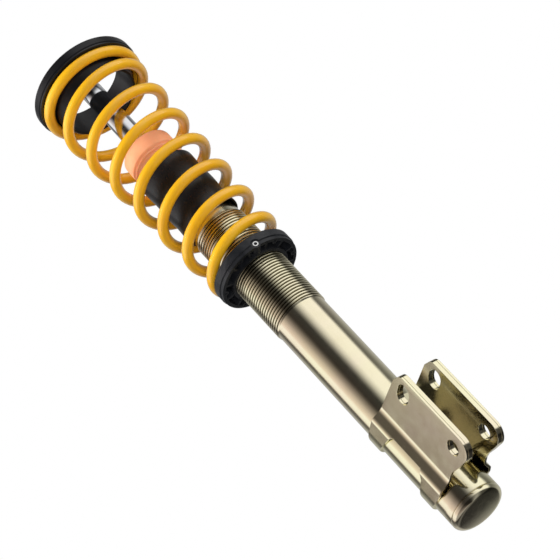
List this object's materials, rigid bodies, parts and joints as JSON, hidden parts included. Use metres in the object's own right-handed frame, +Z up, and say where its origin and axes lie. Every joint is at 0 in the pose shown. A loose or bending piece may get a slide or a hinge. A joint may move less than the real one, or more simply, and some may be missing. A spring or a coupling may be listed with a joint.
{
  "type": "coilover strut",
  "caption": "Threaded MacPherson strut with a two-eared knuckle bracket, height-adjusting lower perch, tapering coil spring, upper perch, piston rod, bump stop and dust boot.",
  "frame": {"origin": "middle of the closed lower end's flat face, on the strut's axis", "axes": "+Z up the strut's axis to the piston rod's stud, +X from the axis out through the gap of the knuckle bracket, +Y along the knuckle bolts"},
  "size_m": [0.1393, 0.1156, 0.654],
  "materials": {
    "gold_plating": "yellow zinc chromate plating, glossy",
    "spring_coat": "glossy yellow powder coat",
    "black_composite": "glass-filled moulded composite",
    "black_coated_steel": "satin black coating",
    "black_rubber": "matt moulded rubber",
    "orange_urethane": "cellular urethane, satin",
    "chrome_rod": "hard chrome, polished",
    "plain_steel": "machined",
    "bronze_bush": "sintered bronze with low-friction lining",
    "ptfe_band": "bronze-filled low-friction band",
    "bright_insert": "turned, bright",
    "black_oxide": "black oxide"
  },
  "bodies": {
    "body": {"body_tube": "gold_plating", "base_cap": "gold_plating", "knuckle_bracket": "gold_plating", "bracket_bridge": "gold_plating", "bracket_welds": "gold_plating", "pressure_tube": "plain_steel", "base_valve": "plain_steel", "base_valve_shims": "plain_steel", "base_valve_bolt": "plain_steel", "rod_guide": "plain_steel", "guide_bush": "bronze_bush", "guide_o_ring": "black_rubber", "rod_seal": "black_rubber", "gland_nut": "plain_steel", "wiper_ring": "black_rubber"},
    "spring": {"coil_spring": "spring_coat"},
    "adjuster": {"adjuster_nut": "black_composite", "lock_insert": "bright_insert", "lock_screw": "black_oxide"},
    "upper_seat": {"upper_perch": "black_coated_steel", "upper_spring_pad": "black_rubber"},
    "rod": {"piston_rod": "chrome_rod", "piston": "plain_steel", "piston_band": "ptfe_band", "compression_shims": "plain_steel", "rebound_shims": "plain_steel", "piston_nut": "plain_steel", "rebound_stop": "plain_steel", "rebound_buffer": "black_rubber"},
    "bump": {"bump_stop": "orange_urethane", "dust_boot": "black_rubber"}
  },
  "joints": [
    {"name": "perch_height", "type": "slide", "parent": "body", "child": "spring", "axis": [0, 0, 1], "range_m": [-0.0585, 0.039]},
    {"name": "adjuster_turn", "type": "hinge", "parent": "spring", "child": "adjuster", "pos_m": [0, 0, 0.339], "axis": [0, 0, 1], "range_deg": [-6481, 4321]},
    {"name": "spring_stroke", "type": "slide", "parent": "spring", "child": "upper_seat", "axis": [0, 0, 1], "range_m": [-0.1, 0], "stiffness_N_per_m": 40000, "springref_m": 0.001, "deforming": ["coil_spring"]},
    {"name": "rod_swivel", "type": "hinge", "parent": "upper_seat", "child": "rod", "pos_m": [0, 0, 0.612], "axis": [0, 0, 1], "range_deg": [-40, 40]},
    {"name": "bump_stop_slide", "type": "slide", "parent": "body", "child": "bump", "axis": [0, 0, 1], "range_m": [-0.01, 0.092]}
  ],
  "couplings": [
    {"joint": "adjuster_turn", "follows": "perch_height", "rad_per_m": 1933.3}
  ]
}
